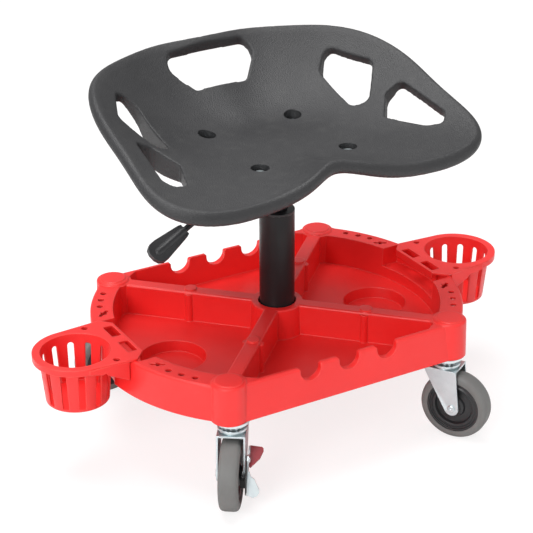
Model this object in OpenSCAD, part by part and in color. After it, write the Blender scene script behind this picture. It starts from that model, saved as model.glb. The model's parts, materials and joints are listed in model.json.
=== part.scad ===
// Rolling mechanic's stool: seat on a gas lift, moulded tool tray, two clip-on bins, four swivel casters.
// Frame: origin on the floor under the column, +Z up, the front with the front tool notches faces -Y.

/* [Tray] */
// Distance of each corner post from the middle, along X and along Y
post_xy = 176; // [174:0.5:178]
// Height of the tray rim above the floor
rim_z = 178; // [177:0.5:179]
// Height of the tray floor above the floor
tray_floor_z = 131.5; // [130:0.5:133]
// Wall thickness of the moulding
tray_wall = 3.5; // [3:0.1:3.8]
// Width of the four dividers
divider_w = 21; // [20:0.5:23]
// Radius of the tool holes along the rim
tool_hole_r = 4.5; // [4:0.1:4.8]
// Radius of the tool notches in the front and back walls
notch_r = 15.75; // [14:0.25:16.5]
// Spacing of the tool notches
notch_step = 60.5; // [58:0.5:62]

/* [Column] */
// Outer radius of the column tube
tube_r = 25; // [24:0.5:25.5]
// Height of the top of the column tube
tube_top_z = 317; // [315:0.5:318]
// Outer radius of the gas lift cylinder
lift_r = 14; // [13.5:0.25:14.5]
// Outer radius of the piston rod
rod_r = 5; // [4.5:0.1:5]

/* [Seat] */
// Height of the middle of the seat pan
pan_z = 420; // [419:0.5:421]
// Thickness of the seat pan
pan_t = 16; // [15:0.5:17]
// Radius of the rolled edge of the seat
roll_r = 11; // [10:0.25:11.5]
// Angle that the seat is turned from straight ahead, degrees
seat_turn = 2.7; // [0:0.1:5]
// Half spacing of the seat bolts along X
bolt_x = 70.8; // [70:0.1:72]
// Half spacing of the seat bolts along Y
bolt_y = 68; // [67:0.1:69]

/* [Lever] */
// Angle of the lift lever from straight left, degrees
lever_turn = 15.9; // [12:0.1:18]
// Droop of the lift lever, degrees
lever_droop = 19; // [18:0.5:20]

/* [Bins] */
// Distance of each bin's middle from the column
bin_x = 314.6; // [314:0.2:316]
// Opening radius of a bin
bin_r = 48; // [46:0.5:49]
// Height of the bottom of a bin
bin_bottom_z = 110; // [106:1:114]

/* [Casters] */
// Distance of each swivel axis from the middle, along X
swivel_x = 172.5; // [172:0.5:176]
// Distance of each swivel axis from the middle, along Y
swivel_y = 178; // [176:0.5:179]
// Wheel radius
wheel_r = 50; // [49:0.5:50]
// Tyre width
tyre_w = 27; // [26:0.5:28]
// Distance of the axle behind the swivel
trail = 18; // [16:0.5:19]

/* [Hidden] */
$fn = 96;

red = [0.85, 0.08, 0.07];
black = [0.10, 0.10, 0.11];
steel = [0.72, 0.74, 0.76];
zinc = [0.75, 0.78, 0.80];
grey_tyre = [0.52, 0.51, 0.49];

arc_shift = 16.5;
arc_r_top = 251.6;
arc_r_low = 252.4;
arc_in_top = 219.5;
arc_in_low = 217.5;
wall_y_top = 191.9;
wall_y_low = 197;
in_y_top = 184.7;
in_y_low = 183.2;
skirt_z = 125.5;
hub_r = 37;
hub_low_r = 38.4;
boss_xy = 91.5;
plate_t = 3.98;
leg_in = 16.7;
leg_t = 2.5;
leg_out = leg_in + leg_t;
brake_x = 18;
brake_z = 73;
brake_pin_r = 2.4;
lever_y = 21.7;
shoe_in = 13.7;
pocket_y = 65.5;
pocket_z = 149;
headings = [["fl", -1, -1, -125.5], ["fr", 1, -1, -58], ["bl", -1, 1, 180], ["br", 1, 1, -150]];

// ---------- tray ----------
// Body bounded by the two long arcs of the tray, with drafted sides
module arcs(r_low, r_top, z0, z1) {
    for (s = [-1, 1])
        translate([s * arc_shift, 0, z0])
            cylinder(h = z1 - z0, r1 = r_low, r2 = r_top, $fn = 180);
}

// Long bar along X with drafted front and back faces
module bar(y_low, y_top, z0, z1) {
    rotate([90, 0, 90])
        linear_extrude(height = 620, center = true)
            polygon([[-y_low, z0], [y_low, z0], [y_top, z1], [-y_top, z1]]);
}

module slab(grow_r, grow_y, z0, z1) {
    intersection() {
        arcs(arc_r_low + grow_r, arc_r_top + grow_r, z0, z1);
        bar(wall_y_low + grow_y, wall_y_top + grow_y, z0, z1);
    }
}

// Outer face of the moulding from the skirt up to a rounded rim, as [distance out, height]
function wall_face(low, top) = [
    [low, skirt_z], [top, rim_z - 3.5], [top - 0.9, rim_z - 1.3], [top - 3.2, rim_z]
];

module outer_body() {
    side = wall_face(arc_r_low, arc_r_top);
    end = wall_face(wall_y_low, wall_y_top);
    intersection() {
        union()
            for (s = [-1, 1])
                translate([s * arc_shift, 0, 0])
                    rotate_extrude($fn = 180)
                        polygon(concat([[0, skirt_z]], side, [[0, rim_z]]));
        rotate([90, 0, 90])
            linear_extrude(height = 620, center = true)
                polygon(concat(end, [for (i = [3 : -1 : 0]) [-end[i][0], end[i][1]]]));
    }
}

// Scallop in each side wall that a bin nests in
module bin_scallop(grow) {
    for (s = [-1, 1])
        translate([s * bin_x, 0, skirt_z - 2])
            cylinder(h = 60, r = bin_r + 2.6 + grow);
}

module tub(grow, z0, z1) {
    intersection() {
        arcs(arc_in_low + grow, arc_in_top + grow, z0, z1);
        bar(in_y_low + grow, in_y_top + grow, z0, z1);
    }
}

// Places its children at the four corners of a square, turned to face outwards
module at_corners(xy) {
    for (sx = [-1, 1])
        for (sy = [-1, 1])
            translate([sx * xy, sy * xy, 0])
                children();
}

module at_swivels() {
    for (sx = [-1, 1])
        for (sy = [-1, 1])
            translate([sx * swivel_x, sy * swivel_y, 0])
                children();
}

module post_profile() {
    polygon([
        [0, skirt_z], [25, skirt_z], [23.7, rim_z - 0.5], [23.1, rim_z + 1.2], [21.9, rim_z + 2.2],
        [20.3, rim_z + 2.6], [19, rim_z + 2.7], [18.6, rim_z + 3.8], [17.6, rim_z + 4.3],
        [0, rim_z + 4.3]
    ]);
}

// Blunts the sharp corner of each compartment beside a post
module corner_fill() {
    intersection() {
        at_corners(post_xy)
            translate([0, 0, tray_floor_z - 1])
                cylinder(h = rim_z - tray_floor_z + 0.6, r = 26.5);
        slab(-1, -1, skirt_z, rim_z);
    }
}

module hub_profile() {
    polygon([
        [0, tray_floor_z - tray_wall], [hub_low_r, tray_floor_z - tray_wall], [hub_low_r, tray_floor_z],
        [hub_r, rim_z - 2.2], [hub_r - 0.8, rim_z - 0.7], [hub_r - 2.5, rim_z - 0.1], [0, rim_z - 0.1]
    ]);
}

// Vertical section of a divider, with a rounded top
module divider_section() {
    low = tray_floor_z - tray_wall;
    h = divider_w / 2;
    polygon([
        [-h, low], [h, low], [h, rim_z - 2.6], [h - 0.8, rim_z - 1], [h - 2.4, rim_z - 0.2],
        [-h + 2.4, rim_z - 0.2], [-h + 0.8, rim_z - 1], [-h, rim_z - 2.6]
    ]);
}

module dividers() {
    for (a = [45 : 90 : 315])
        rotate([0, 0, a])
            translate([hub_r - 6, 0, 0])
                rotate([90, 0, 90])
                    linear_extrude(height = post_xy * sqrt(2) - hub_r - 12)
                        divider_section();
}

// Shallow round dish for small parts in each side compartment
module dish(grow) {
    for (s = [-1, 1])
        translate([s * 168, 0, 115.5 - grow])
            cylinder(h = tray_floor_z - 115.5 + (grow > 0 ? 0.5 : 6), r1 = 43.5 + grow, r2 = 47.5 + grow);
}

// Region taken out of the rim band where a bin hooks on
module bin_pocket(grow_low, grow_side) {
    for (s = [-1, 1])
        intersection() {
            translate([s * arc_shift, 0, pocket_z - grow_low])
                difference() {
                    cylinder(h = 60, r = 244.5, $fn = 180);
                    translate([0, 0, -1])
                        cylinder(h = 62, r = 210, $fn = 180);
                }
            translate([s * 240, 0, 170])
                cube([120, 2 * (pocket_y + grow_side), 140], center = true);
        }
}

module tray_shell() {
    difference() {
        outer_body();
        tub(0, tray_floor_z, rim_z + 1);
        difference() {
            intersection() {
                slab(-tray_wall, -tray_wall, skirt_z - 1, rim_z - tray_wall);
                union() {
                    translate([0, 0, 100])
                        cube([700, 700, 96], center = true);
                    cube([700, 360, 700], center = true);
                }
            }
            tub(tray_wall, tray_floor_z - tray_wall, rim_z);
            for (s = [-1, 1])
                translate([s * 240, 0, 195])
                    cube([120, 2 * (pocket_y + tray_wall), 100], center = true);
            bin_scallop(tray_wall);
        }
        bin_pocket(0, 0);
        bin_scallop(0);
    }
}

module notch_cut() {
    translate([0, 0, rim_z - 5]) {
        rotate([90, 0, 0])
            cylinder(h = 60, r = notch_r, center = true);
        translate([0, 0, 10])
            cube([2 * notch_r, 60, 20], center = true);
        difference() {
            translate([0, 0, 5])
                cube([2 * notch_r + 8, 60, 8], center = true);
            for (s = [-1, 1])
                translate([s * (notch_r + 4), 0, 1])
                    rotate([90, 0, 0])
                        cylinder(h = 70, r = 4, center = true, $fn = 48);
        }
    }
}

module tool_holes() {
    for (sx = [-1, 1])
        for (sy = [-1, 1])
            for (a = [26.8, 31.7, 36.7])
                translate([sx * (arc_shift + 237.7 * cos(a)), sy * 237.7 * sin(a), rim_z - 12])
                    cylinder(h = 20, r = tool_hole_r, $fn = 48);
}

// Cross-shaped slots beside the bin pockets
module cross_slots() {
    for (sx = [-1, 1])
        for (sy = [-1, 1])
            translate([sx * (arc_shift + 232.7 * cos(21.4)), sy * 232.7 * sin(21.4), rim_z])
                rotate([0, 0, -sx * sy * 33])
                    for (arm = [[0, 8], [90, 2.6]])
                        rotate([0, 0, arm[0]]) {
                            cube([2 * arm[1], 5.4, 24], center = true);
                            for (e = [-1, 1])
                                translate([e * arm[1], 0, 0])
                                    cylinder(h = 24, r = 2.7, center = true, $fn = 36);
                        }
}

module tray() {
    color(red)
        difference() {
            union() {
                tray_shell();
                dividers();
                rotate_extrude()
                    hub_profile();
                at_corners(post_xy)
                    rotate_extrude()
                        post_profile();
                corner_fill();
                at_corners(boss_xy)
                    translate([0, 0, tray_floor_z - tray_wall])
                        cylinder(h = rim_z + 2.6 - tray_floor_z + tray_wall, r = 8.8);
                for (a = [45 : 90 : 315])
                    rotate([0, 0, a])
                        for (s = [-1, 1])
                            translate([boss_xy * sqrt(2), s * (divider_w / 2 - 1.6), tray_floor_z - 1])
                                cylinder(h = rim_z - tray_floor_z - 2, r = 6);
                dish(tray_wall - 0.5);
            }
            dish(0);
            translate([0, 0, skirt_z - 5])
                cylinder(h = 80, r = tube_r + 2.1);
            for (a = [45 : 90 : 315])
                rotate([0, 0, a])
                    for (c = [[46, 112], [146, 218]])
                        translate([c[0], -divider_w / 2 + 3.5, 120])
                            cube([c[1] - c[0], divider_w - 7, rim_z - 124.5]);
            at_corners(boss_xy)
                translate([0, 0, 120])
                    cylinder(h = 40, r = 4.05);
            at_swivels()
                translate([0, 0, 120])
                    cylinder(h = 46.5, r = 5.6);
            for (y = [-188, 188])
                for (i = [-1, 0, 1])
                    translate([i * notch_step, y, 0])
                        notch_cut();
            tool_holes();
            cross_slots();
        }
}

// ---------- column ----------
module base_plate() {
    color(steel)
        difference() {
            union() {
                translate([0, 0, tray_floor_z - tray_wall - 4])
                    cylinder(h = plate_t, r = 58);
                for (a = [45, 135])
                    rotate([0, 0, a])
                        translate([-boss_xy * sqrt(2), -17, tray_floor_z - tray_wall - 4])
                            cube([2 * boss_xy * sqrt(2), 34, plate_t]);
                for (a = [45 : 90 : 315])
                    rotate([0, 0, a])
                        translate([boss_xy * sqrt(2), 0, tray_floor_z - tray_wall - 4])
                            cylinder(h = plate_t, r = 17);
            }
            translate([0, 0, 100])
                cylinder(h = 60, r = rod_r - 0.9);
            at_corners(boss_xy)
                translate([0, 0, 100])
                    cylinder(h = 60, r = 4.3);
        }
}

module base_screws() {
    color(zinc)
        at_corners(boss_xy) {
            translate([0, 0, tray_floor_z - tray_wall - 8])
                cylinder(h = 4, r = 7.5);
            translate([0, 0, tray_floor_z - tray_wall - 4])
                cylinder(h = 32, r = 4);
        }
}

module column_tube() {
    color(black)
        translate([0, 0, tray_floor_z - tray_wall])
            difference() {
                cylinder(h = tube_top_z - tray_floor_z + tray_wall, r = tube_r);
                translate([0, 0, -1])
                    cylinder(h = 300, r = tube_r - 2);
            }
}

module guide_bush() {
    color(black)
        difference() {
            union() {
                translate([0, 0, tube_top_z - 77])
                    cylinder(h = 77, r = tube_r - 2);
                translate([0, 0, tube_top_z])
                    cylinder(h = 3, r = tube_r);
            }
            translate([0, 0, tube_top_z - 80])
                cylinder(h = 100, r = lift_r + 0.05);
            translate([0, 0, tube_top_z + 1.6])
                cylinder(h = 2, r1 = lift_r + 0.05, r2 = lift_r + 1.6);
        }
}

module thrust_bearing() {
    color(steel)
        translate([0, 0, tray_floor_z - tray_wall])
            difference() {
                union() {
                    cylinder(h = 1.5, r = 12);
                    translate([0, 0, 1.5])
                        cylinder(h = 3, r = 10);
                    translate([0, 0, 4.5])
                        cylinder(h = 1.5, r = 12);
                }
                translate([0, 0, -1])
                    cylinder(h = 10, r = rod_r - 1);
            }
}

module piston_rod() {
    color(steel) {
        translate([0, 0, 119])
            cylinder(h = 17, r = rod_r - 1);
        translate([0, 0, 134])
            cylinder(h = 170, r = rod_r);
        translate([0, 0, 300])
            cylinder(h = 10, r = lift_r - 2.05);
    }
}

module rod_clip() {
    color(steel)
        translate([0, 0, 121.8])
            difference() {
                cylinder(h = 1.6, r = 9);
                translate([0, 0, -1])
                    cylinder(h = 4, r = rod_r - 1);
                translate([8, 0, 0])
                    cube([10, 3, 5], center = true);
            }
}

module gas_cylinder() {
    color(black)
        difference() {
            union() {
                translate([0, 0, 182])
                    cylinder(h = 174, r = lift_r);
                translate([0, 0, 356])
                    cylinder(h = 28, r1 = lift_r - 0.2, r2 = lift_r - 0.9);
            }
            translate([0, 0, 180])
                cylinder(h = 30, r = rod_r + 0.05);
            translate([0, 0, 194])
                cylinder(h = 172, r = lift_r - 2);
            translate([0, 0, 376])
                cylinder(h = 20, r = 4.05);
        }
}

module release_pin() {
    color(steel)
        translate([0, 0, 380.5]) {
            cylinder(h = 5, r = 4);
            translate([0, 0, 5])
                cylinder(h = 2.5, r1 = 4, r2 = 1.5);
        }
}

// ---------- seat mechanism ----------
module seat_frame() {
    rotate([0, 0, seat_turn])
        children();
}

module lever_frame() {
    rotate([0, 0, 180 + lever_turn])
        children();
}

module seat_bracket() {
    color(black) {
        difference() {
            union() {
                seat_frame()
                    difference() {
                        translate([0, 0, pan_z - pan_t - 1.75])
                            cube([176, 170, 3.5], center = true);
                        for (sx = [-1, 1])
                            for (sy = [-1, 1])
                                translate([sx * bolt_x, sy * bolt_y, 380])
                                    cylinder(h = 40, r = 4.2);
                    }
                lever_frame() {
                    for (s = [-1, 1])
                        translate([-45, s * 26.5 - 1.5, 370])
                            cube([110, 3, 31]);
                    translate([-45, -28, 367])
                        cube([110, 56, 3]);
                    translate([-45, -28, 368])
                        cube([3, 56, 33]);
                }
                translate([0, 0, 356])
                    cylinder(h = 24, r = 19);
            }
            translate([0, 0, 356])
                cylinder(h = 28, r1 = lift_r - 0.2, r2 = lift_r - 0.9);
            lever_frame()
                translate([24, 0, 393])
                    rotate([90, 0, 0])
                        cylinder(h = 80, r = 3, center = true);
        }
    }
}

module lever_pin() {
    color(steel)
        lever_frame()
            translate([24, 0, 393])
                rotate([90, 0, 0]) {
                    cylinder(h = 60, r = 3, center = true);
                    translate([0, 0, 28])
                        cylinder(h = 3, r = 5.5);
                    translate([0, 0, -31])
                        cylinder(h = 3, r = 5.5);
                }
}

module lever_arm() {
    color(black)
        lever_frame() {
            difference() {
                translate([-4, -5, 388])
                    cube([41, 10, 10]);
                translate([24, 0, 393])
                    rotate([90, 0, 0])
                        cylinder(h = 20, r = 3.05, center = true);
            }
            translate([36, 0, 393])
                rotate([0, 90 + lever_droop, 0])
                    cylinder(h = 196, r = 4);
            translate([34, 0, 393])
                sphere(r = 4.4);
        }
}

module grip_outline() {
    polygon([
        [0, -8], [4, -9.6], [44, -15], [53, -14.8], [59, -11.4], [61.8, -4.5], [61.8, 4.5],
        [59, 11.4], [53, 14.8], [44, 15], [4, 9.6], [0, 8]
    ]);
}

module lever_grip() {
    color(black)
        lever_frame()
            translate([36, 0, 393])
                rotate([0, lever_droop, 0])
                    translate([149, 0, 0])
                        rotate([-41.7, 0, 0])
                            difference() {
                                union() {
                                    translate([0, 0, -4])
                                        linear_extrude(height = 8)
                                            grip_outline();
                                    rotate([0, 90, 0])
                                        cylinder(h = 50, r = 6.2);
                                    translate([50, 0, 0])
                                        sphere(r = 6.2);
                                }
                                translate([-1, 0, 0])
                                    rotate([0, 90, 0])
                                        cylinder(h = 48, r = 4);
                            }
}

// ---------- seat ----------
// Plan radius and height of the middle of the rolled edge, by angle from the back
function wave(a, c) = c[0] + sum_cos(a, c, 1);
function sum_cos(a, c, k) = k >= len(c) ? 0 : c[k] * cos(k * a) + sum_cos(a, c, k + 1);
edge_r_terms = [220.25, 16.28, -41.82, 17.87, -12.3, -2.87, 6.16, -2.74, -3.23, 2.53, -2.45];
edge_z_terms = [461.45, 52.63, -0.97, -14.01, 5.5, -0.89, 1.25];
function edge_r(a) = wave(a, edge_r_terms);
function edge_z(a) = wave(a, edge_z_terms);
// The middle of the pan is flat; beyond flat_t it rises smoothly to the rolled edge
flat_t = 0.3;
function pan_rise(a, t) =
    (edge_z(a) + roll_r - 1.5 - pan_z) * pow(max(0, (t - flat_t) / (1 - flat_t)), 2);
function pan_top(a, t) = pan_z + pan_rise(a, t);
// Eases from 0 to 1 outside the flat middle of the seat's underside, where the bracket bolts on
function ease(t) = let (u = max(0, min(1, (t - 0.66) / 0.26))) u * u * (3 - 2 * u);
function pan_low(a, t) = pan_z - pan_t + pan_rise(a, t) * ease(t);

bolt_depth = 11;
seat_steps = 90;
ring_in = 8;
ring_roll = 7;
ring_count = 2 * ring_in + ring_roll;
function inner_t(j) = 1 - pow(1 - (j + 1) / (ring_in + 0.35), 1.35);

// One point of the seat skin: j runs from the top middle, round the rolled edge, to the bottom middle
function skin_rz(a, j) =
    let (r = edge_r(a), z = edge_z(a))
    j < ring_in
        ? [(r - 4) * inner_t(j), pan_top(a, inner_t(j) * (r - 4) / r)]
    : j < ring_in + ring_roll
        ? let (b = 75 - (j - ring_in) * 150 / (ring_roll - 1))
            [r + roll_r * cos(b), z + roll_r * sin(b)]
    : let (t = inner_t(2 * ring_in + ring_roll - 1 - j))
        [(r - 4) * t, pan_low(a, t * (r - 4) / r)];

function skin_point(i, j) =
    let (a = 360 * i / seat_steps, p = skin_rz(a, j))
    [-p[0] * sin(a), p[0] * cos(a), p[1]];

module seat_skin() {
    n = seat_steps;
    m = ring_count;
    points = concat(
        [for (j = [0 : m - 1]) for (i = [0 : n - 1]) skin_point(i, j)],
        [[0, 0, pan_z], [0, 0, pan_z - pan_t]]
    );
    top = n * m;
    sides = [
        for (j = [0 : m - 2])
            for (i = [0 : n - 1])
                for (h = [0, 1])
                    h == 0
                        ? [j * n + i, (j + 1) * n + i, j * n + (i + 1) % n]
                        : [j * n + (i + 1) % n, (j + 1) * n + i, (j + 1) * n + (i + 1) % n]
    ];
    caps = [
        for (i = [0 : n - 1])
            for (h = [0, 1])
                h == 0
                    ? [top, i, (i + 1) % n]
                    : [top + 1, (m - 1) * n + (i + 1) % n, (m - 1) * n + i]
    ];
    polyhedron(points = points, faces = concat(sides, caps));
}

// Rounded cut-out through the seat
module rounded(corners, r) {
    translate([0, 0, 380])
        linear_extrude(height = 160)
            offset(r = r, $fn = 32)
                offset(delta = -r)
                    polygon(corners);
}

module seat_windows() {
    rounded([[-62, 196], [66, 198], [75, 180], [44, 147], [-38, 147], [-66, 176]], 10);
    rounded([[146, 112], [171, 134], [209, 68], [168, 20], [145, 26]], 12);
    rounded([[162, -27], [192, 11], [217, 11], [230, -76], [214, -92], [193, -80]], 8);
    mirror([1, 0, 0]) {
        rounded([[154, 112], [177, 132], [206, 68], [178, 17], [156, 20]], 10);
        rounded([[169, -27], [189, 12], [214, 16], [223, -74], [212, -88], [190, -82]], 8);
    }
}

module seat() {
    color(black)
        seat_frame()
            difference() {
                seat_skin();
                seat_windows();
                for (sx = [-1, 1])
                    for (sy = [-1, 1])
                        translate([sx * bolt_x, sy * bolt_y, 380]) {
                            cylinder(h = 60, r = 4.2, $fn = 48);
                            translate([0, 0, pan_z - 380 - bolt_depth])
                                cylinder(h = 40, r = 12.5, $fn = 64);
                        }
            }
}

module at_bolts() {
    seat_frame()
        for (sx = [-1, 1])
            for (sy = [-1, 1])
                translate([sx * bolt_x, sy * bolt_y, 0])
                    children();
}

module seat_bolts() {
    color(zinc)
        at_bolts() {
            translate([0, 0, pan_z - 30.5])
                cylinder(h = 32 - bolt_depth, r = 4);
            translate([0, 0, pan_z - bolt_depth + 1.6])
                cylinder(h = 3.6, r = 6.6, $fn = 48);
        }
}

module seat_washers() {
    color(zinc)
        at_bolts()
            translate([0, 0, pan_z - bolt_depth])
                difference() {
                    cylinder(h = 1.6, r = 9);
                    translate([0, 0, -1])
                        cylinder(h = 4, r = 4.2);
                }
}

module seat_nuts() {
    color(zinc)
        at_bolts()
            translate([0, 0, pan_z - pan_t - 3.5 - 6.5])
                difference() {
                    cylinder(h = 6.5, r = 7.2, $fn = 6);
                    translate([0, 0, -1])
                        cylinder(h = 9, r = 4);
                }
}

// ---------- bins ----------
module bin_plate_outline() {
    circle(r = 58.5);
    polygon([
        [5, 58.2], [-63, 62.5], [-77.5, 47], [-77.5, -47], [-63, -62.5], [5, -58.2]
    ]);
}

// Gusset under each side of the hook plate, clear of the tray's outer wall
module bin_gusset() {
    rotate([90, 0, 0])
        linear_extrude(height = 3, center = true)
            polygon([[-51.5, 179], [-51.5, 150], [-17.6, 167], [6, 173], [6, 179]]);
}

// Slot with rounded corners, cut down through a plate
module hook_slot(w, l, r) {
    cube([w - 2 * r, l, 20], center = true);
    cube([w, l - 2 * r, 20], center = true);
    for (sx = [-1, 1])
        for (sy = [-1, 1])
            translate([sx * (w / 2 - r), sy * (l / 2 - r), 0])
                cylinder(h = 20, r = r, center = true, $fn = 32);
}

// A bin with its middle on the origin and its hook toward -X
module bin_body() {
    top_z = 181.5;
    difference() {
        union() {
            translate([0, 0, rim_z + 0.1])
                linear_extrude(height = top_z - rim_z - 0.1)
                    bin_plate_outline();
            difference() {
                translate([0, 0, 172.5])
                    cylinder(h = 6, r = 58.5);
                translate([0, 0, 171])
                    cylinder(h = 9, r = 55.5);
                translate([-66, 0, 170])
                    cube([40, 100, 30], center = true);
            }
            translate([0, 0, bin_bottom_z])
                cylinder(h = top_z - bin_bottom_z - 1, r1 = 43.5, r2 = bin_r + 2);
            for (s = [-1, 1])
                translate([0, s * 59, 0])
                    bin_gusset();
            translate([-77.5, -46, 171])
                cube([3, 92, 9]);
            for (s = [-1, 1])
                translate([-59, s * 24 - 8, 158])
                    cube([2.4, 16, 22]);
        }
        translate([0, 0, bin_bottom_z + 3])
            cylinder(h = top_z - bin_bottom_z - 1, r1 = 40.8, r2 = bin_r);
        for (i = [0 : 11])
            rotate([0, 0, 15 + 30 * i])
                translate([35, 0, 0]) {
                    translate([0, -4.5, bin_bottom_z + 3])
                        cube([30, 9, 52]);
                    translate([0, 0, bin_bottom_z + 55])
                        rotate([0, 90, 0])
                            cylinder(h = 30, r = 4.5, $fn = 48);
                }
        for (s = [-1, 1]) {
            translate([-37, s * 51.5, 170])
                cylinder(h = 20, r = 4.8, $fn = 48);
            translate([-66.3, s * 24.8, 180])
                hook_slot(13.8, 32.4, 2.5);
        }
    }
}

module bin_right() {
    color(red)
        translate([bin_x, 0, 0])
            bin_body();
}

module bin_left() {
    color(red)
        mirror([1, 0, 0])
            translate([bin_x, 0, 0])
                bin_body();
}

// ---------- casters ----------
// Places its children in a caster's own frame: the origin under the swivel, +X toward the axle
module caster_frame(k) {
    h = headings[k];
    translate([h[1] * swivel_x, h[2] * swivel_y, 0])
        rotate([0, 0, h[3]])
            children();
}

module caster_pins() {
    color(zinc)
        for (k = [0 : 3])
            caster_frame(k) {
                translate([0, 0, 102.5])
                    cylinder(h = 60, r = 5.5);
                translate([0, 0, 102.5])
                    cylinder(h = 3, r = 8);
                translate([0, 0, 121.5])
                    cylinder(h = 4, r = 23);
                translate([0, 0, 119])
                    cylinder(h = 2.5, r1 = 20, r2 = 22.4);
            }
}

function reach(p, c) = norm(c - p);
// Point where a line from p touches the circle at c, on the side picked by s
function touch(p, c, r, s) =
    let (d = reach(p, c), a = atan2(c[1] - p[1], c[0] - p[0]) + s * asin(r / d))
    p + sqrt(d * d - r * r) * [cos(a), sin(a)];

module leg_outline() {
    axle = [trail, wheel_r];
    low = [-17, 90];
    side = [22, 109];
    polygon([
        [-25, 109], [-24, 103], low, touch(low, axle, 10.5, -1), axle, touch(side, axle, 10.5, 1), side
    ]);
    translate(axle)
        circle(r = 10.5);
}

// Plate drawn in the plane of a leg, from y0 out to y1
module side_plate(y0, y1) {
    translate([0, y1, 0])
        rotate([90, 0, 0])
            linear_extrude(height = y1 - y0)
                children();
}

module fork(braked) {
    difference() {
        union() {
            side_plate(leg_in, leg_out)
                leg_outline();
            side_plate(-leg_out, -leg_in)
                leg_outline();
            translate([-25, -leg_out, 106.5])
                cube([47, 2 * leg_out, 2.5]);
            translate([0, 0, 109])
                cylinder(h = 4.5, r = 17.5);
            translate([0, 0, 111])
                cylinder(h = 3.5, r = 20);
        }
        translate([0, 0, 100])
            cylinder(h = 20, r = 5.6);
        translate([trail, 0, wheel_r])
            rotate([90, 0, 0])
                cylinder(h = 60, r = 4.1, center = true);
        if (braked)
            brake_hole(leg_in - 1, leg_out + 1);
    }
}

module balls() {
    for (i = [0 : 13])
        rotate([0, 0, i * 360 / 14])
            translate([15.5, 0, 116.75])
                sphere(r = 2.24);
}

// Low head, dimpled in the middle, that stands on the plane z = 0
module rivet_head(r) {
    difference() {
        union() {
            cylinder(h = 1.1, r = r);
            translate([0, 0, 1.1])
                cylinder(h = 0.7, r1 = r - 0.2, r2 = r - 1.2);
        }
        translate([0, 0, 0.9])
            cylinder(h = 2, r1 = 0.8, r2 = 2.4);
    }
}

// The head is on -Y; the other end has a nut, or is riveted over where the brake's lever needs the room
module axle_bolt(nut) {
    translate([trail, 0, wheel_r])
        rotate([90, 0, 0]) {
            cylinder(h = 2 * leg_out, r = 4, center = true);
            translate([0, 0, leg_out])
                rivet_head(5.6);
            translate([0, 0, -leg_out])
                if (nut) {
                    translate([0, 0, -5.5])
                        cylinder(h = 5.5, r = 6.6, $fn = 6);
                    translate([0, 0, -7])
                        cylinder(h = 2, r = 4);
                } else {
                    mirror([0, 0, 1])
                        rivet_head(5.6);
                }
        }
}

module axle_sleeve() {
    translate([trail, 0, wheel_r])
        rotate([90, 0, 0])
            difference() {
                cylinder(h = 2 * leg_in, r = 6, center = true);
                cylinder(h = 40, r = 4.05, center = true);
            }
}

module wheel_section() {
    h = tyre_w / 2;
    polygon([
        [6.05, -h - 1], [11, -h - 1], [12, -h + 1], [15.5, -h + 3], [17, -h + 6.5], [26, -h + 7],
        [28, -h + 2.2], [31, -h + 1.6], [33, -h + 3], [35, -h + 3], [36, -h + 0.8], [38.6, -h + 0.8],
        [38.6, h - 0.8], [36, h - 0.8], [35, h - 3], [33, h - 3], [31, h - 1.6], [28, h - 2.2],
        [26, h - 7], [17, h - 6.5], [15.5, h - 3], [12, h - 1], [11, h + 1], [6.05, h + 1]
    ]);
}

module wheel() {
    translate([trail, 0, wheel_r])
        rotate([90, 0, 0])
            rotate_extrude()
                wheel_section();
}

module tyre_section() {
    h = tyre_w / 2;
    polygon([
        [38.6, -h], [43, -h], [46, -h + 0.7], [48, -h + 2], [49.3, -h + 4], [wheel_r, -h + 7.5],
        [wheel_r, h - 7.5], [49.3, h - 4], [48, h - 2], [46, h - 0.7], [43, h], [38.6, h]
    ]);
}

module tyre() {
    translate([trail, 0, wheel_r])
        rotate([90, 0, 0])
            rotate_extrude()
                tyre_section();
}

// Places its children on the brake's pivot axis, which runs along Y
module brake_pivot() {
    translate([brake_x, 0, brake_z])
        children();
}

// Hole for the pivot rivet, from y0 out to y1
module brake_hole(y0, y1) {
    brake_pivot()
        translate([0, y0, 0])
            rotate([-90, 0, 0])
                cylinder(h = y1 - y0, r = brake_pin_r + 0.05);
}

module brake_pin() {
    brake_pivot()
        rotate([-90, 0, 0]) {
            translate([0, 0, leg_in - 1])
                cylinder(h = lever_y + 2.05 - leg_in + 1, r = brake_pin_r);
            translate([0, 0, leg_in - 1.05])
                cylinder(h = 1, r = 4.2);
            translate([0, 0, lever_y + 2.05])
                rivet_head(4.4);
        }
}

// Tread plate of the lever: the outline is drawn as [y, up the plate], and the plate leans by tilt
module tread(x, z, tilt) {
    translate([x, 0, z])
        rotate([0, tilt, 0])
            rotate([90, 0, 90])
                linear_extrude(height = 2, center = true)
                    children();
}

module brake_pedal() {
    difference() {
        brake_pivot() {
            side_plate(lever_y, lever_y + 2) {
                circle(r = 7);
                polygon([
                    [-21, 8], [-17, 11], [-4, 5.5], [6.9, 0], [10, -9], [14, -18], [20.5, -43],
                    [17, -46], [9, -19], [2, -12]
                ]);
            }
            tread(2, -11, -52)
                polygon([
                    [lever_y + 0.6, 2.4], [25.5, -0.3], [37.3, 13], [41.4, 24], [41, 27.5],
                    [39.2, 29.5], [23.3, 31], [lever_y + 0.6, 30.4]
                ]);
            tread(9, -18, -15)
                polygon([
                    [lever_y + 0.6, 5], [25, 4.6], [27, -2], [31.5, -5], [38.3, -20],
                    [38.4, -24], [35.5, -28.5], [30, -31], [25, -29.3], [lever_y + 0.6, -26.6]
                ]);
        }
        brake_hole(lever_y - 1, lever_y + 3);
    }
}

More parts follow.
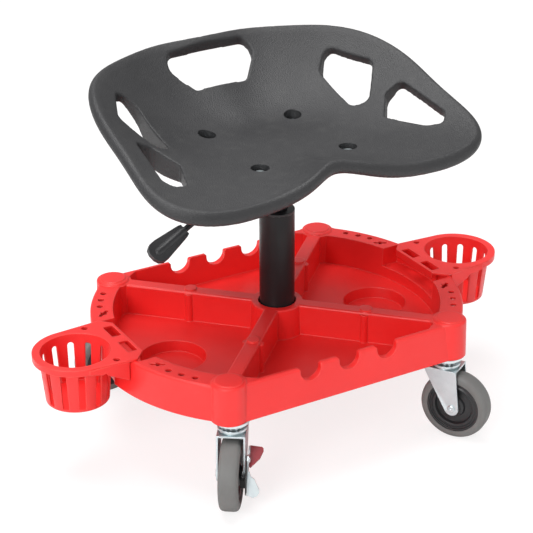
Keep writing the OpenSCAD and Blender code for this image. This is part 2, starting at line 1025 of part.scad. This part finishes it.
// Shoe that slides inward along the rivet and bears on the rib of the wheel's face
module brake_pad() {
    difference() {
        brake_pivot() {
            side_plate(lever_y - 1.25, lever_y - 0.05) {
                circle(r = 6);
                polygon([[-3, -5.2], [14, -19], [14, -39], [26, -39], [27, -12], [4.5, 4]]);
            }
            translate([15, shoe_in, -30])
                cube([8, lever_y - 0.05 - shoe_in, 11]);
        }
        brake_hole(lever_y - 3, lever_y + 1);
    }
}

module fork_fl() { color(zinc) caster_frame(0) fork(true); }
module balls_fl() { color(steel) caster_frame(0) balls(); }
module axle_fl() { color(zinc) caster_frame(0) axle_bolt(false); }
module sleeve_fl() { color(steel) caster_frame(0) axle_sleeve(); }
module wheel_fl() { color(black) caster_frame(0) wheel(); }
module tyre_fl() { color(grey_tyre) caster_frame(0) tyre(); }
module fork_fr() { color(zinc) caster_frame(1) fork(false); }
module balls_fr() { color(steel) caster_frame(1) balls(); }
module axle_fr() { color(zinc) caster_frame(1) axle_bolt(true); }
module sleeve_fr() { color(steel) caster_frame(1) axle_sleeve(); }
module wheel_fr() { color(black) caster_frame(1) wheel(); }
module tyre_fr() { color(grey_tyre) caster_frame(1) tyre(); }
module fork_bl() { color(zinc) caster_frame(2) fork(false); }
module balls_bl() { color(steel) caster_frame(2) balls(); }
module axle_bl() { color(zinc) caster_frame(2) axle_bolt(true); }
module sleeve_bl() { color(steel) caster_frame(2) axle_sleeve(); }
module wheel_bl() { color(black) caster_frame(2) wheel(); }
module tyre_bl() { color(grey_tyre) caster_frame(2) tyre(); }
module fork_br() { color(zinc) caster_frame(3) fork(true); }
module balls_br() { color(steel) caster_frame(3) balls(); }
module axle_br() { color(zinc) caster_frame(3) axle_bolt(false); }
module sleeve_br() { color(steel) caster_frame(3) axle_sleeve(); }
module wheel_br() { color(black) caster_frame(3) wheel(); }
module tyre_br() { color(grey_tyre) caster_frame(3) tyre(); }
module brake_pin_fl() { color(steel) caster_frame(0) brake_pin(); }
module brake_pedal_fl() { color(zinc) caster_frame(0) brake_pedal(); }
module brake_pad_fl() { color(black) caster_frame(0) brake_pad(); }
module brake_pin_br() { color(steel) caster_frame(3) brake_pin(); }
module brake_pedal_br() { color(zinc) caster_frame(3) brake_pedal(); }
module brake_pad_br() { color(black) caster_frame(3) brake_pad(); }

tray();
base_plate();
base_screws();
column_tube();
guide_bush();
caster_pins();
thrust_bearing();
piston_rod();
rod_clip();
gas_cylinder();
seat_bracket();
seat();
seat_bolts();
seat_washers();
seat_nuts();
lever_pin();
release_pin();
lever_arm();
lever_grip();
bin_left();
bin_right();
fork_fl();
balls_fl();
axle_fl();
sleeve_fl();
wheel_fl();
tyre_fl();
fork_fr();
balls_fr();
axle_fr();
sleeve_fr();
wheel_fr();
tyre_fr();
fork_bl();
balls_bl();
axle_bl();
sleeve_bl();
wheel_bl();
tyre_bl();
fork_br();
balls_br();
axle_br();
sleeve_br();
wheel_br();
tyre_br();
brake_pin_fl();
brake_pedal_fl();
brake_pad_fl();
brake_pin_br();
brake_pedal_br();
brake_pad_br();
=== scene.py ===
import bpy
import json
import math
from mathutils import Matrix, Vector


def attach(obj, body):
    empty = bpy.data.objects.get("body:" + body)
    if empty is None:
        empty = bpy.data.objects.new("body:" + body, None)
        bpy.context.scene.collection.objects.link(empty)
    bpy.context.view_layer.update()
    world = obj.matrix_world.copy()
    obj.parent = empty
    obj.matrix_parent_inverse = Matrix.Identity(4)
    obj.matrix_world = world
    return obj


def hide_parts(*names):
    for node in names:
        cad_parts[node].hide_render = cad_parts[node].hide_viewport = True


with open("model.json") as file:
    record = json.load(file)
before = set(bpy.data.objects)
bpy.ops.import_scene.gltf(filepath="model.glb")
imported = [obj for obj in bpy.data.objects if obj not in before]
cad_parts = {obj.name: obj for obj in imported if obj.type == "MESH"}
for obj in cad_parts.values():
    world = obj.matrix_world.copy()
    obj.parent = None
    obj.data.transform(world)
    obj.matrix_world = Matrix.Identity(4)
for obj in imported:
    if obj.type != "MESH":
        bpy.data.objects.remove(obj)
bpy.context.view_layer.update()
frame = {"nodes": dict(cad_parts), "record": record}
NODES = frame["nodes"]


# ---------------------------------------------------------------- materials
class Graph:
    """A small helper for writing node trees."""

    def __init__(self, name):
        self.mat = bpy.data.materials.new(name)
        self.mat.use_nodes = True
        self.tree = self.mat.node_tree
        self.tree.nodes.clear()
        self.out = self.add("ShaderNodeOutputMaterial")
        self.bsdf = self.add("ShaderNodeBsdfPrincipled")
        self.link(self.bsdf.outputs[0], self.out.inputs[0])
        self.coord = self.add("ShaderNodeTexCoord").outputs["Object"]

    def add(self, kind, **values):
        n = self.tree.nodes.new(kind)
        for k, v in values.items():
            setattr(n, k, v)
        return n

    def link(self, a, b):
        self.tree.links.new(a, b)

    def put(self, socket, value):
        if isinstance(value, bpy.types.NodeSocket):
            self.link(value, socket)
        else:
            socket.default_value = value

    def scaled(self, stretch):
        m = self.add("ShaderNodeMapping")
        self.link(self.coord, m.inputs["Vector"])
        m.inputs["Scale"].default_value = stretch
        return m.outputs[0]

    def noise(self, scale, detail=4.0, rough=0.55, vector=None, distortion=0.0):
        n = self.add("ShaderNodeTexNoise")
        self.link(vector or self.coord, n.inputs["Vector"])
        n.inputs["Scale"].default_value = scale
        n.inputs["Detail"].default_value = detail
        n.inputs["Roughness"].default_value = rough
        n.inputs["Distortion"].default_value = distortion
        return n.outputs["Fac"]

    def cells(self, scale, vector=None):
        n = self.add("ShaderNodeTexVoronoi")
        self.link(vector or self.coord, n.inputs["Vector"])
        n.inputs["Scale"].default_value = scale
        return n.outputs["Distance"]

    def ramp(self, fac, low, high, a=0.0, b=1.0):
        n = self.add("ShaderNodeMapRange")
        n.clamp = True
        self.link(fac, n.inputs["Value"])
        n.inputs["From Min"].default_value = low
        n.inputs["From Max"].default_value = high
        n.inputs["To Min"].default_value = a
        n.inputs["To Max"].default_value = b
        return n.outputs["Result"]

    def math(self, op, a, b=0.0):
        n = self.add("ShaderNodeMath", operation=op)
        self.put(n.inputs[0], a)
        self.put(n.inputs[1], b)
        return n.outputs[0]

    def mix(self, fac, a, b):
        n = self.add("ShaderNodeMix", data_type="RGBA")
        self.put(n.inputs["Factor"], fac)
        self.put(n.inputs[6], a)
        self.put(n.inputs[7], b)
        return n.outputs[2]

    def edge(self, radius):
        """1 on sharp edges, 0 on flat faces; also returns the rounded normal."""
        bevel = self.add("ShaderNodeBevel")
        bevel.samples = 6
        bevel.inputs["Radius"].default_value = radius
        geo = self.add("ShaderNodeNewGeometry")
        dot = self.add("ShaderNodeVectorMath", operation="DOT_PRODUCT")
        self.link(bevel.outputs[0], dot.inputs[0])
        self.link(geo.outputs["Normal"], dot.inputs[1])
        return self.ramp(dot.outputs["Value"], 0.995, 0.75), bevel.outputs[0]

    def bump(self, height, strength, distance, normal=None):
        n = self.add("ShaderNodeBump")
        n.inputs["Strength"].default_value = strength
        n.inputs["Distance"].default_value = distance
        self.link(height, n.inputs["Height"])
        if normal:
            self.link(normal, n.inputs["Normal"])
        return n.outputs[0]

    def upward(self):
        """1 where a face looks up, for settled dust."""
        geo = self.add("ShaderNodeNewGeometry")
        sep = self.add("ShaderNodeSeparateXYZ")
        self.link(geo.outputs["Normal"], sep.inputs[0])
        return self.ramp(sep.outputs["Z"], 0.4, 1.0)

    def finish(self, color, rough, normal, metal=0.0, spec=0.5, sub=0.0):
        i = self.bsdf.inputs
        self.put(i["Base Color"], color)
        self.put(i["Roughness"], rough)
        self.link(normal, i["Normal"])
        self.put(i["Metallic"], metal)
        self.put(i["Specular IOR Level"], spec)
        if sub:
            i["Subsurface Weight"].default_value = sub
            i["Subsurface Scale"].default_value = 0.004
            i["Subsurface Radius"].default_value = (1.0, 0.25, 0.2)
        return self.mat


def rgba(c):
    return (c[0], c[1], c[2], 1.0)


def moulded(name, base, shade, edge_sheen_and_scuff, rough, grain, edge_r, sub=0.0):
    """Injection-moulded plastic: flow shading, fine grain, scuffs, and a painted highlight that makes
    every edge paler.
    """
    g = Graph(name)
    edge, rounded = g.edge(edge_r)
    flow = g.noise(5.0, 3.0, 0.5, distortion=0.6)
    scuff = g.ramp(g.noise(38.0, 8.0, 0.72, g.scaled((1.0, 0.35, 1.0))), 0.60, 0.74)
    col = g.mix(g.ramp(flow, 0.3, 0.7), rgba(shade), rgba(base))
    # Painted highlight: every edge is painted a paler colour for the light that rounded edges catch;
    # the scuff marks on the next line reuse this colour as real wear.
    col = g.mix(g.math("MULTIPLY", edge, 0.42), col, rgba(edge_sheen_and_scuff))
    col = g.mix(g.math("MULTIPLY", scuff, 0.10), col, rgba(edge_sheen_and_scuff))
    patchy = g.ramp(g.noise(22.0, 5.0), 0.3, 0.7, rough - 0.05, rough + 0.06)
    r = g.math("ADD", patchy, g.math("MULTIPLY", scuff, 0.12))
    fine = g.noise(grain, 2.0, 0.6)
    wavy = g.noise(9.0, 2.0, 0.4)
    n = g.bump(wavy, 0.05, 0.004, rounded)
    n = g.bump(fine, 0.16, 0.00025, n)
    return g.finish(col, r, n, sub=sub)


def seat_plastic():
    """Dark blow-moulded seat: pebbled grain, worn smoother and paler where people sit."""
    g = Graph("seat_plastic")
    rounded = g.edge(0.0015)[1]
    cells = g.cells(620.0)
    fine = g.noise(900.0, 3.0, 0.6)
    wear = g.noise(6.0, 4.0, 0.5)
    col = g.mix(g.ramp(wear, 0.35, 0.65), rgba((0.018, 0.018, 0.0195)), rgba((0.024, 0.024, 0.0255)))
    col = g.mix(g.math("MULTIPLY", g.ramp(fine, 0.55, 0.75), 0.5), col, rgba((0.052, 0.052, 0.055)))
    dust = g.math("MULTIPLY", g.upward(), g.ramp(g.noise(60.0, 6.0, 0.7), 0.5, 0.8, 0.0, 0.25))
    col = g.mix(dust, col, rgba((0.09, 0.089, 0.085)))
    r = g.ramp(wear, 0.3, 0.7, 0.46, 0.58)
    n = g.bump(g.noise(7.0, 2.0, 0.4), 0.08, 0.006, rounded)
    n = g.bump(cells, 0.55, 0.0008, n)
    n = g.bump(fine, 0.35, 0.0004, n)
    return g.finish(col, r, n)


def coated(name, base, worn, rough, edge_r):
    """Powder-coated steel: orange peel, rubbed through on the edges."""
    g = Graph(name)
    edge, rounded = g.edge(edge_r)
    chips = g.math("MULTIPLY", edge, g.ramp(g.noise(90.0, 6.0, 0.7), 0.50, 0.62))
    col = g.mix(g.ramp(g.noise(14.0, 4.0), 0.3, 0.7), rgba([c * 0.8 for c in base]), rgba(base))
    col = g.mix(chips, col, rgba(worn))
    r = g.ramp(g.noise(30.0, 5.0), 0.3, 0.7, rough - 0.05, rough + 0.07)
    n = g.bump(g.noise(420.0, 2.0, 0.5), 0.18, 0.0003, rounded)
    return g.finish(col, r, n, metal=g.math("MULTIPLY", chips, 0.9), spec=0.3)


def plated(name, base, dull, rough, edge_r, brushed):
    """Zinc-plated or ground steel: cloudy plate, fine brushing, a little grime."""
    g = Graph(name)
    edge, rounded = g.edge(edge_r)
    cloud = g.ramp(g.noise(34.0, 6.0, 0.6, distortion=0.4), 0.3, 0.7)
    lines = g.noise(260.0, 3.0, 0.6, g.scaled(brushed))
    grime = g.ramp(g.noise(75.0, 7.0, 0.72), 0.60, 0.78)
    col = g.mix(cloud, rgba(dull), rgba(base))
    col = g.mix(g.math("MULTIPLY", grime, 0.25), col, rgba([c * 0.45 for c in dull]))
    streaks = g.ramp(lines, 0.3, 0.7, rough - 0.06, rough + 0.10)
    r = g.math("ADD", streaks, g.math("MULTIPLY", grime, 0.2))
    n = g.bump(lines, 0.12, 0.0002, rounded)
    return g.finish(col, r, n, metal=1.0)


def tread():
    """Grey non-marking tread: matte, faintly dusty where it rolls."""
    g = Graph("tread")
    rounded = g.edge(0.002)[1]
    dirt = g.ramp(g.noise(48.0, 8.0, 0.7), 0.42, 0.75)
    cloud = g.ramp(g.noise(11.0, 4.0), 0.3, 0.7)
    col = g.mix(cloud, rgba((0.145, 0.144, 0.140)), rgba((0.175, 0.173, 0.168)))
    col = g.mix(g.math("MULTIPLY", dirt, 0.28), col, rgba((0.115, 0.112, 0.106)))
    r = g.ramp(g.noise(90.0, 5.0), 0.3, 0.7, 0.52, 0.68)
    n = g.bump(g.noise(700.0, 3.0, 0.6), 0.2, 0.0003, rounded)
    return g.finish(col, r, n, spec=0.4)


ZINC_BASE, ZINC_DULL = (0.72, 0.79, 0.81), (0.62, 0.69, 0.71)
TREAD_FOLD = 0.0021
PAINT_FOOT = -0.01225


def pedal(joint):
    """Zinc-plated brake lever whose upper tread is painted dark red.

    The paint starts TREAD_FOLD out from the rivet and ends PAINT_FOOT from its height, in metres.
    """
    g = Graph("pedal_" + joint["name"].rsplit("_", 1)[1])
    edge, rounded = g.edge(0.0008)
    outward = [-c for c in joint["axis"]]
    across = g.add("ShaderNodeVectorMath", operation="DOT_PRODUCT")
    g.link(g.coord, across.inputs[0])
    across.inputs[1].default_value = outward
    pivot = joint["pos_m"]
    reach = sum(a * b for a, b in zip(pivot, outward))
    height = g.add("ShaderNodeSeparateXYZ")
    g.link(g.coord, height.inputs[0])
    fold, foot = reach + TREAD_FOLD, pivot[2] + PAINT_FOOT
    past_fold = g.ramp(across.outputs["Value"], fold - 0.0003, fold + 0.0003)
    above = g.ramp(height.outputs["Z"], foot - 0.00025, foot + 0.00025)
    worn = g.math("MULTIPLY", edge, g.ramp(g.noise(120.0, 6.0, 0.7), 0.52, 0.62))
    kept = g.math("SUBTRACT", 1.0, worn)
    paint = g.math("MULTIPLY", g.math("MULTIPLY", past_fold, above), kept)
    cloud = g.ramp(g.noise(34.0, 6.0, 0.6, distortion=0.4), 0.3, 0.7)
    plate = g.mix(cloud, rgba(ZINC_DULL), rgba(ZINC_BASE))
    coat = g.mix(g.noise(60.0, 4.0), rgba((0.23, 0.012, 0.020)), rgba((0.30, 0.018, 0.028)))
    fine = g.noise(380.0, 3.0, 0.6)
    n = g.bump(fine, 0.15, 0.0002, rounded)
    metal = g.math("SUBTRACT", 1.0, paint)
    r = g.ramp(fine, 0.3, 0.7, 0.30, 0.42)
    return g.finish(g.mix(paint, plate, coat), r, n, metal=metal)


RED = moulded("red_plastic", (0.86, 0.022, 0.020), (0.80, 0.018, 0.017), (0.95, 0.16, 0.13),
              rough=0.40, grain=1100.0, edge_r=0.0022, sub=0.06)
SEAT = seat_plastic()
COAT = coated("black_steel", (0.012, 0.012, 0.013), (0.42, 0.42, 0.43), rough=0.36, edge_r=0.0012)
DARK = moulded("black_plastic", (0.022, 0.022, 0.024), (0.017, 0.017, 0.018), (0.06, 0.06, 0.063),
               rough=0.42, grain=900.0, edge_r=0.0012)
PAD = moulded("black_rubber", (0.020, 0.020, 0.020), (0.015, 0.015, 0.015), (0.05, 0.05, 0.05),
              rough=0.65, grain=1300.0, edge_r=0.001)
BRIGHT = plated("bright_steel", (0.66, 0.67, 0.69), (0.56, 0.57, 0.59),
                rough=0.22, edge_r=0.0006, brushed=(1.0, 1.0, 14.0))
ZINC = plated("zinc_steel", ZINC_BASE, ZINC_DULL, rough=0.34, edge_r=0.0010, brushed=(3.0, 3.0, 1.0))
TREAD = tread()

BY_SLOT = {
    "red_plastic": RED, "seat_plastic": SEAT, "black_steel": COAT, "black_plastic": DARK,
    "grey_tread": TREAD, "black_rubber": PAD, "bright_steel": BRIGHT, "zinc_steel": ZINC,
}
for part in frame["record"]["subparts"]:
    mesh = NODES[part["node"]].data
    mesh.materials.clear()
    mesh.materials.append(BY_SLOT[part["material_slot"]])
for joint in frame["record"]["behaviour"]["joints"]:
    if joint["name"].startswith("brake_press_"):
        lever = NODES["brake_pedal_" + joint["name"].rsplit("_", 1)[1]]
        lever.data.materials[0] = pedal(joint)


# ---------------------------------------------------------------- seat
# The same formula as the CAD seat, in millimetres, drawn finely and with soft edges round the
# cut-outs. EDGE_R and EDGE_Z are the cosine terms of the rim's radius and height round the seat.
EDGE_R = [220.25, 16.28, -41.82, 17.87, -12.3, -2.87, 6.16, -2.74, -3.23, 2.53, -2.45]
EDGE_Z = [461.45, 52.63, -0.97, -14.01, 5.5, -0.89, 1.25]
PAN_Z, PAN_T, ROLL, FLAT = 420.0, 16.0, 11.0, 0.3
ROLL_DROP = 1.5
EASE_START, EASE_SPAN = 0.66, 0.26
TURN = math.radians(2.7)
BOLTS = [(sx * 70.8, sy * 68.0) for sx in (-1, 1) for sy in (-1, 1)]
BOLT_CUTS = [(12.5, PAN_Z - 11.0, 450.0), (4.2, 390.0, 440.0)]
MM = 0.001


def wave(a, terms):
    return sum(c * math.cos(k * a) for k, c in enumerate(terms))


def ease(u):
    u = max(0.0, min(1.0, u))
    return u * u * (3 - 2 * u)


def pan_rise(a, t):
    """How far the pan has risen at a fraction t of the way from the middle to the rim."""
    return (wave(a, EDGE_Z) + ROLL - ROLL_DROP - PAN_Z) * max(0.0, (t - FLAT) / (1 - FLAT)) ** 2


def skin_profile(a, n_in, n_roll):
    """Radius and height along the seat's skin at angle a: upper face, rolled rim, underside."""
    r, z = wave(a, EDGE_R), wave(a, EDGE_Z)
    ts = [(1 - (1 - (j + 1) / (n_in + 0.35)) ** 1.35) * (r - 4) / r for j in range(n_in)]
    lift = [pan_rise(a, t) for t in ts]
    top = [(r * t, PAN_Z + h) for t, h in zip(ts, lift)]
    low = [(r * t, PAN_Z - PAN_T + h * ease((t - EASE_START) / EASE_SPAN)) for t, h in zip(ts, lift)]
    roll = []
    for j in range(n_roll):
        b = math.radians(75 - j * 150 / (n_roll - 1))
        roll.append((r + ROLL * math.cos(b), z + ROLL * math.sin(b)))
    return top + roll + list(reversed(low))


def mesh_object(name, verts, faces, material, smooth=True):
    me = bpy.data.meshes.new(name)
    me.from_pydata([tuple(v) for v in verts], [], faces)
    me.materials.append(material)
    if smooth:
        me.polygons.foreach_set("use_smooth", [True] * len(me.polygons))
    me.update()
    ob = bpy.data.objects.new(name, me)
    bpy.context.scene.collection.objects.link(ob)
    return ob


def seat_skin(steps=240, n_in=28, n_roll=16):
    verts, faces = [], []
    rows = 2 * n_in + n_roll
    for i in range(steps):
        a = 2 * math.pi * i / steps
        for r, z in skin_profile(a, n_in, n_roll):
            verts.append((-r * math.sin(a) * MM, r * math.cos(a) * MM, z * MM))
    for i in range(steps):
        k = (i + 1) % steps
        for j in range(rows - 1):
            faces.append((i * rows + j, k * rows + j, k * rows + j + 1, i * rows + j + 1))
    top, low = len(verts), len(verts) + 1
    verts += [(0, 0, PAN_Z * MM), (0, 0, (PAN_Z - PAN_T) * MM)]
    for i in range(steps):
        k = (i + 1) % steps
        faces.append((top, k * rows, i * rows))
        faces.append((low, i * rows + rows - 1, k * rows + rows - 1))
    return mesh_object("seat_blank", verts, faces, SEAT)


def rounded_outline(corners, radius, step=7):
    """Corner list with each corner turned into an arc."""
    out, n = [], len(corners)
    for i in range(n):
        p, a, b = Vector(corners[i]), Vector(corners[i - 1]), Vector(corners[(i + 1) % n])
        u, v = (a - p).normalized(), (b - p).normalized()
        half = math.acos(max(-1.0, min(1.0, u.dot(v)))) / 2
        cut = radius / math.tan(half)
        centre = p + (u + v).normalized() * (radius / math.sin(half))
        s, e = p + u * cut - centre, p + v * cut - centre
        t0 = math.atan2(s.y, s.x)
        turn = (math.atan2(e.y, e.x) - t0 + math.pi) % (2 * math.pi) - math.pi
        for q in range(step + 1):
            t = t0 + turn * q / step
            out.append((centre.x + radius * math.cos(t), centre.y + radius * math.sin(t)))
    return out


def counterclockwise(outline):
    ends = zip(outline, outline[1:] + outline[:1])
    twice_area = sum(x0 * y1 - x1 * y0 for (x0, y0), (x1, y1) in ends)
    return outline if twice_area > 0 else outline[::-1]


def cutter(low, high):
    """Closed solid between two rings of points with the same count, in millimetres."""
    n = len(low)
    verts = [(x * MM, y * MM, z * MM) for x, y, z in low + high]
    faces = [tuple(reversed(range(n))), tuple(range(n, 2 * n))]
    faces += [(i, (i + 1) % n, n + (i + 1) % n, n + i) for i in range(n)]
    ob = mesh_object("cutter", verts, faces, SEAT, smooth=False)
    bpy.context.view_layer.update()
    return ob


def drill(x, y, r, z0, z1):
    low, high = [[(x + p, y + q, z) for p, q in ring(r)] for z in (z0, z1)]
    return cutter(low, high)


def ring(r, n=64):
    return [(r * math.cos(2 * math.pi * i / n), r * math.sin(2 * math.pi * i / n)) for i in range(n)]


def use_modifier(ob, kind, **values):
    m = ob.modifiers.new(kind.lower(), kind)
    for k, v in values.items():
        setattr(m, k, v)
    bpy.context.view_layer.objects.active = ob
    ob.select_set(True)
    bpy.ops.object.modifier_apply(modifier=m.name)
    ob.select_set(False)


def cut(ob, tool):
    use_modifier(ob, "BOOLEAN", object=tool, operation="DIFFERENCE", solver="EXACT")
    bpy.data.objects.remove(tool)


# Each cut-out: corners in plan, corner radius, and how far its sides lean for each unit of height.
CUT_BELOW, CUT_ABOVE = -90.0, 60.0
WINDOWS = [
    ([(-62, 194), (66, 196), (75, 179), (44, 149), (-38, 149), (-66, 175)], 13, (0, -0.12)),
    ([(146, 112), (171, 134), (209, 68), (168, 20), (145, 26)], 13, (-0.34, -0.1)),
    ([(162, -27), (192, 11), (217, 11), (230, -76), (214, -92), (193, -80)], 9, (-0.25, -0.1)),
    ([(-154, 112), (-177, 132), (-206, 68), (-178, 17), (-156, 18)], 13, (-0.1, -0.2)),
    ([(-169, -27), (-189, 12), (-212, 14), (-220, -72), (-211, -86), (-190, -82)], 9, (-0.1, -0.1)),
]


def top_height(x, y):
    """Height of the seat's upper face at a place in plan."""
    a = math.atan2(-x, y)
    t = min(1.0, math.hypot(x, y) / wave(a, EDGE_R))
    return PAN_Z + pan_rise(a, t)


def leaning_cutter(outline, lean):
    """Cutter whose sides pass through the outline drawn on the seat's upper face."""
    low, high = [
        [(x + lean[0] * h, y + lean[1] * h, top_height(x, y) + h) for x, y in counterclockwise(outline)]
        for h in (CUT_BELOW, CUT_ABOVE)
    ]
    return cutter(low, high)


def build_seat():
    seat = seat_skin()
    for corners, r, lean in WINDOWS:
        cut(seat, leaning_cutter(rounded_outline(corners, r), lean))
    use_modifier(seat, "REMESH", mode="VOXEL", voxel_size=0.0016, use_smooth_shade=True)
    use_modifier(seat, "SMOOTH", factor=0.5, iterations=14)
    for x, y in BOLTS:
        for r, z0, z1 in BOLT_CUTS:
            cut(seat, drill(x, y, r, z0, z1))
    seat.data.transform(Matrix.Rotation(TURN, 4, "Z"))
    seat.data.materials.clear()
    seat.data.materials.append(SEAT)
    seat.name = "seat_shell"
    seat.data.name = "seat_shell"
    return seat


seat = build_seat()
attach(seat, "seat_unit")
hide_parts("seat")

for ob in NODES.values():
    ob.data.polygons.foreach_set("use_smooth", [True] * len(ob.data.polygons))


# ---------------------------------------------------------------- studio
def floor_material():
    """Pale floor that looks nearly evenly lit, so that only the soft contact shadow shows."""
    g = Graph("floor_pale")
    n = g.bump(g.noise(300.0, 2.0), 0.02, 0.0005)
    g.finish(rgba((0.86, 0.86, 0.86)), 0.9, n, spec=0.2)
    glow = g.add("ShaderNodeEmission")
    glow.inputs["Color"].default_value = (1.0, 0.985, 0.985, 1.0)
    glow.inputs["Strength"].default_value = 1.13
    seen = g.add("ShaderNodeLightPath").outputs["Is Camera Ray"]
    blend = g.add("ShaderNodeMixShader")
    g.link(g.math("MULTIPLY", seen, 0.70), blend.inputs["Fac"])
    g.link(g.bsdf.outputs[0], blend.inputs[1])
    g.link(glow.outputs[0], blend.inputs[2])
    g.link(blend.outputs[0], g.out.inputs[0])
    return g.mat


def floor():
    half = 6.0
    corners = [(-half, -half, 0), (half, -half, 0), (half, half, 0), (-half, half, 0)]
    ob = mesh_object("floor", corners, [(0, 1, 2, 3)], floor_material(), smooth=False)
    ob.location.z = -0.0002


floor()


def area(name, place, target, side, power):
    """Square area light of a given side in metres and power in watts, aimed at a point."""
    data = bpy.data.lights.new(name, "AREA")
    data.size = side
    data.energy = power
    ob = bpy.data.objects.new(name, data)
    ob.location = place
    ob.rotation_euler = (Vector(target) - Vector(place)).to_track_quat("-Z", "Y").to_euler()
    bpy.context.scene.collection.objects.link(ob)


area("key", (-2.9, -1.8, 2.0), (0, 0, 0.2), side=1.6, power=76)
area("fill", (2.0, -2.2, 1.2), (0, 0, 0.25), side=2.0, power=10)
area("top", (-0.2, 0.3, 2.8), (0, 0, 0.2), side=1.8, power=68)


def studio_world():
    """Even soft light from all round, behind a backdrop that looks white."""
    world = bpy.data.worlds.new("studio")
    world.use_nodes = True
    tree = world.node_tree
    background = tree.nodes["Background"]
    background.inputs["Color"].default_value = (1, 1, 1, 1)
    seen = tree.nodes.new("ShaderNodeLightPath").outputs["Is Camera Ray"]
    strength = tree.nodes.new("ShaderNodeMapRange")
    strength.inputs["To Min"].default_value = 0.50
    strength.inputs["To Max"].default_value = 1.0
    tree.links.new(seen, strength.inputs["Value"])
    tree.links.new(strength.outputs["Result"], background.inputs["Strength"])
    bpy.context.scene.world = world


studio_world()
bpy.context.scene.view_settings.view_transform = "Standard"
bpy.context.scene.view_settings.look = "None"


def camera():
    """Camera from its solved place and angles: yaw about z, pitch down, roll about the view."""
    yaw, pitch, roll = [math.radians(d) for d in (-29.958, 25.731, -0.203)]
    level = math.cos(pitch)
    fwd = Vector((-math.sin(yaw) * level, math.cos(yaw) * level, -math.sin(pitch)))
    right = fwd.cross(Vector((0, 0, 1))).normalized()
    up = right.cross(fwd)
    r = math.cos(roll) * right + math.sin(roll) * up
    u = -math.sin(roll) * right + math.cos(roll) * up
    m = Matrix((r, u, -fwd)).transposed().to_4x4()
    m.translation = Vector((-1.0634, -1.8151, 1.2436))
    data = bpy.data.cameras.new("camera")
    data.sensor_width = 36.0
    data.lens = 111.22
    ob = bpy.data.objects.new("camera", data)
    bpy.context.scene.collection.objects.link(ob)
    ob.matrix_world = m
    bpy.context.scene.camera = ob


camera()
